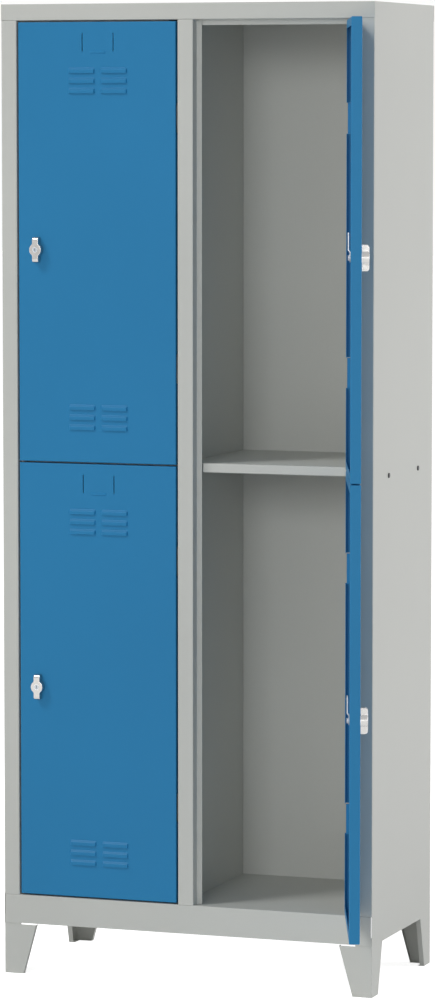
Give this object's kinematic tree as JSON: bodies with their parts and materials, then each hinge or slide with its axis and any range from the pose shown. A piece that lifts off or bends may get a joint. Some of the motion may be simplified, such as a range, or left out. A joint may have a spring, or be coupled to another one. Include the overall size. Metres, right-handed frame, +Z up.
{
  "type": "school locker",
  "caption": "Free-standing sheet steel school locker with shelves, hinged louvred doors and turning wing-knob locks, on tapered folded legs.",
  "frame": {"origin": "centre of the cabinet's footprint on the floor, midway between the four feet", "axes": "+Z up; -Y is the side the doors are on; +X is to the right of someone facing the doors"},
  "size_m": [0.7925, 0.6413, 1.8],
  "materials": {
    "carcass_paint": "light grey powder coat, semi-matt, fine texture",
    "door_paint": "blue powder coat, semi-matt, fine texture",
    "lock_chrome": "polished chrome on die-cast zinc",
    "zinc_steel": "bright zinc plate",
    "dark_steel": "black oxide"
  },
  "bodies": {
    "carcass": {"left_side_panel": "carcass_paint", "right_side_panel": "carcass_paint", "partition": "carcass_paint", "roof_panel": "carcass_paint", "floor_panel": "carcass_paint", "back_panel": "carcass_paint", "left_shelf": "carcass_paint", "right_shelf": "carcass_paint", "shelf_screws": "dark_steel", "shelf_nuts": "zinc_steel", "upper_left_hinge_leaves": "carcass_paint", "lower_left_hinge_leaves": "carcass_paint", "upper_right_hinge_leaves": "carcass_paint", "lower_right_hinge_leaves": "carcass_paint"},
    "upper_left_door": {"upper_left_door": "door_paint", "upper_left_hinge_brackets": "door_paint", "upper_left_hinge_pins": "zinc_steel", "upper_left_lock_barrel": "lock_chrome", "upper_left_lock_nut": "zinc_steel"},
    "upper_left_knob": {"upper_left_knob": "lock_chrome", "upper_left_cam": "zinc_steel", "upper_left_cam_screw": "zinc_steel"},
    "upper_left_key_plug": {"upper_left_key_plug": "zinc_steel"},
    "lower_left_door": {"lower_left_door": "door_paint", "lower_left_hinge_brackets": "door_paint", "lower_left_hinge_pins": "zinc_steel", "lower_left_lock_barrel": "lock_chrome", "lower_left_lock_nut": "zinc_steel"},
    "lower_left_knob": {"lower_left_knob": "lock_chrome", "lower_left_cam": "zinc_steel", "lower_left_cam_screw": "zinc_steel"},
    "lower_left_key_plug": {"lower_left_key_plug": "zinc_steel"},
    "upper_right_door": {"upper_right_door": "door_paint", "upper_right_hinge_brackets": "door_paint", "upper_right_hinge_pins": "zinc_steel", "upper_right_lock_barrel": "lock_chrome", "upper_right_lock_nut": "zinc_steel"},
    "upper_right_knob": {"upper_right_knob": "lock_chrome", "upper_right_cam": "zinc_steel", "upper_right_cam_screw": "zinc_steel"},
    "upper_right_key_plug": {"upper_right_key_plug": "zinc_steel"},
    "lower_right_door": {"lower_right_door": "door_paint", "lower_right_hinge_brackets": "door_paint", "lower_right_hinge_pins": "zinc_steel", "lower_right_lock_barrel": "lock_chrome", "lower_right_lock_nut": "zinc_steel"},
    "lower_right_knob": {"lower_right_knob": "lock_chrome", "lower_right_cam": "zinc_steel", "lower_right_cam_screw": "zinc_steel"},
    "lower_right_key_plug": {"lower_right_key_plug": "zinc_steel"}
  },
  "joints": [
    {"name": "upper_left_door_swing", "type": "hinge", "parent": "carcass", "child": "upper_left_door", "pos_m": [-0.0255, -0.174, 1.364], "axis": [0, 0, 1], "range_deg": [0, 112]},
    {"name": "upper_left_knob_turn", "type": "hinge", "parent": "upper_left_door", "child": "upper_left_knob", "pos_m": [-0.289, -0.18, 1.351], "axis": [0, -1, 0], "range_deg": [0, 90]},
    {"name": "upper_left_key_turn", "type": "hinge", "parent": "upper_left_knob", "child": "upper_left_key_plug", "pos_m": [-0.289, -0.18, 1.351], "axis": [0, -1, 0], "range_deg": [0, 90]},
    {"name": "lower_left_door_swing", "type": "hinge", "parent": "carcass", "child": "lower_left_door", "pos_m": [-0.0255, -0.174, 0.555], "axis": [0, 0, 1], "range_deg": [0, 112]},
    {"name": "lower_left_knob_turn", "type": "hinge", "parent": "lower_left_door", "child": "lower_left_knob", "pos_m": [-0.289, -0.18, 0.542], "axis": [0, -1, 0], "range_deg": [0, 90]},
    {"name": "lower_left_key_turn", "type": "hinge", "parent": "lower_left_knob", "child": "lower_left_key_plug", "pos_m": [-0.289, -0.18, 0.542], "axis": [0, -1, 0], "range_deg": [0, 90]},
    {"name": "upper_right_door_swing", "type": "hinge", "parent": "carcass", "child": "upper_right_door", "pos_m": [0.3195, -0.174, 1.364], "axis": [0, 0, 1], "range_deg": [-109.65, 2.35]},
    {"name": "upper_right_knob_turn", "type": "hinge", "parent": "upper_right_door", "child": "upper_right_knob", "pos_m": [0.41376, -0.42014, 1.351], "axis": [0.9418, 0.3363, 0], "range_deg": [0, 90]},
    {"name": "upper_right_key_turn", "type": "hinge", "parent": "upper_right_knob", "child": "upper_right_key_plug", "pos_m": [0.41376, -0.42014, 1.351], "axis": [0.9418, 0.3363, 0], "range_deg": [0, 90]},
    {"name": "lower_right_door_swing", "type": "hinge", "parent": "carcass", "child": "lower_right_door", "pos_m": [0.3195, -0.174, 0.555], "axis": [0, 0, 1], "range_deg": [-109.65, 2.35]},
    {"name": "lower_right_knob_turn", "type": "hinge", "parent": "lower_right_door", "child": "lower_right_knob", "pos_m": [0.41376, -0.42014, 0.542], "axis": [0.9418, 0.3363, 0], "range_deg": [0, 90]},
    {"name": "lower_right_key_turn", "type": "hinge", "parent": "lower_right_knob", "child": "lower_right_key_plug", "pos_m": [0.41376, -0.42014, 0.542], "axis": [0.9418, 0.3363, 0], "range_deg": [0, 90]}
  ]
}
